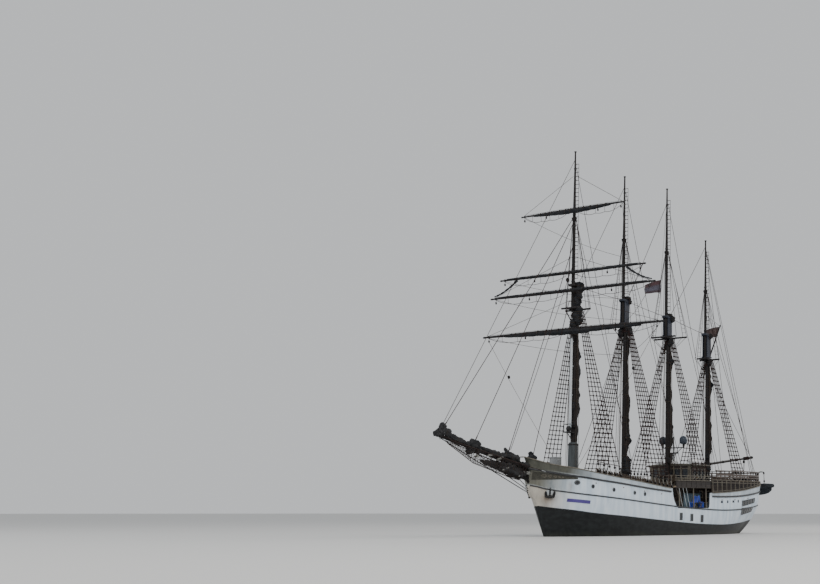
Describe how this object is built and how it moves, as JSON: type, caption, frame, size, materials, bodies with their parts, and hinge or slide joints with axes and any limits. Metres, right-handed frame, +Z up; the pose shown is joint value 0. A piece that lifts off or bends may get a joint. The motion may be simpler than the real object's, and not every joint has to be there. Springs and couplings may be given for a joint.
{
  "type": "four-masted barquentine, scale model at 1:2",
  "caption": "Four-masted sailing ship afloat with furled sails: white hull, long bowsprit, square yards on the foremast, shrouds and stays.",
  "frame": {"origin": "on the waterline, amidships on the centreline", "axes": "+X forward to the bow, +Y to port, +Z up"},
  "size_m": [24.4487, 10, 18.9678],
  "materials": {
    "topsides": "gloss white topsides paint, black below the boot top",
    "cap_wood": "oiled hardwood rail",
    "house_wood": "varnished dark timber",
    "white_paint": "white enamel",
    "mast_wood": "dark stained timber",
    "spar_wood": "dark stained timber",
    "sailcloth": "weathered stowed canvas",
    "wire_rope": "tarred wire and rope",
    "black_iron": "black painted iron",
    "bronze": "cast bronze",
    "tender_rubber": "dark coated fabric tubes",
    "flag_cloth": "woven bunting"
  },
  "bodies": {
    "ship": {"hull": "topsides", "bulwark_fore": "topsides", "bulwark_aft": "topsides", "cap_rail_fore": "cap_wood", "cap_rail_aft": "cap_wood", "deckhouse": "house_wood", "bridge_deck": "house_wood", "wheelhouse_walls": "house_wood", "wheelhouse_roof": "house_wood", "poop_deck": "house_wood", "poop_rail": "house_wood", "dome_pole": "white_paint", "bow_locker": "white_paint", "bowsprit": "mast_wood", "beak_knee": "mast_wood", "mast_fore_lower": "mast_wood", "mast_main_lower": "mast_wood", "mast_mizzen_lower": "mast_wood", "mast_jigger_lower": "mast_wood", "mast_fore_top": "spar_wood", "mast_main_top": "spar_wood", "mast_mizzen_top": "spar_wood", "mast_jigger_top": "spar_wood", "crosstrees_fore": "spar_wood", "crosstrees_main": "spar_wood", "crosstrees_mizzen": "spar_wood", "crosstrees_jigger": "spar_wood", "monkey_gaff": "spar_wood", "furled_sail_fore": "sailcloth", "furled_sail_main": "sailcloth", "furled_sail_mizzen": "sailcloth", "furled_sail_jigger": "sailcloth", "furled_flying_jib": "sailcloth", "furled_inner_jib": "sailcloth", "shrouds_fore": "wire_rope", "shrouds_main": "wire_rope", "shrouds_mizzen": "wire_rope", "shrouds_jigger": "wire_rope", "forestay": "wire_rope", "fore_topmast_stay": "wire_rope", "jib_stay": "wire_rope", "flying_jib_stay": "wire_rope", "bobstay": "black_iron", "anchor_port": "black_iron", "anchor_starboard": "black_iron", "stern_davits": "black_iron", "tender": "tender_rubber", "flag_mizzen": "flag_cloth", "flag_gaff": "flag_cloth"},
    "rudder": {"rudder": "black_iron"},
    "propeller": {"propeller": "bronze"},
    "course_yard": {"yard_course": "spar_wood", "furled_course": "sailcloth"},
    "lower_topsail_yard": {"yard_lower_topsail": "spar_wood"},
    "upper_topsail_yard": {"yard_upper_topsail": "spar_wood"},
    "topgallant_yard": {"yard_topgallant": "spar_wood", "furled_topgallant": "sailcloth"},
    "boom": {"jigger_boom": "spar_wood"},
    "door_port": {"wheelhouse_door_port": "house_wood"},
    "door_starboard": {"wheelhouse_door_starboard": "house_wood"}
  },
  "joints": [
    {"name": "rudder_turn", "type": "hinge", "parent": "ship", "child": "rudder", "pos_m": [-7.3, 0, -0.5], "axis": [0, 0, 1], "range_deg": [-35, 35]},
    {"name": "propeller_spin", "type": "hinge", "parent": "ship", "child": "propeller", "pos_m": [-6.71, 0, -0.875], "axis": [1, 0, 0], "continuous": true},
    {"name": "course_brace", "type": "hinge", "parent": "ship", "child": "course_yard", "pos_m": [5.47841, 0, 9.09027], "axis": [-0.0523, 0, 0.9986], "range_deg": [-35, 35]},
    {"name": "lower_topsail_brace", "type": "hinge", "parent": "ship", "child": "lower_topsail_yard", "pos_m": [5.59523, 0, 10.87383], "axis": [-0.0523, 0, 0.9986], "range_deg": [-35, 35]},
    {"name": "upper_topsail_brace", "type": "hinge", "parent": "ship", "child": "upper_topsail_yard", "pos_m": [5.55205, 0, 11.6977], "axis": [-0.0523, 0, 0.9986], "range_deg": [-35, 35]},
    {"name": "topgallant_brace", "type": "hinge", "parent": "ship", "child": "topgallant_yard", "pos_m": [5.40028, 0, 14.59372], "axis": [-0.0523, 0, 0.9986], "range_deg": [-35, 35]},
    {"name": "boom_swing", "type": "hinge", "parent": "ship", "child": "boom", "pos_m": [-5.24327, 0, 3.39808], "axis": [-0.0523, 0, 0.9986], "range_deg": [-50, 50]},
    {"name": "port_door_hinge", "type": "hinge", "parent": "ship", "child": "door_port", "pos_m": [-2.544, 1.1, 2.7], "axis": [0, 0, 1], "range_deg": [0, 100]},
    {"name": "starboard_door_hinge", "type": "hinge", "parent": "ship", "child": "door_starboard", "pos_m": [-2.544, -1.1, 2.7], "axis": [0, 0, -1], "range_deg": [0, 100]}
  ],
  "couplings": [
    {"joint": "upper_topsail_brace", "follows": "lower_topsail_brace", "ratio": 1}
  ]
}
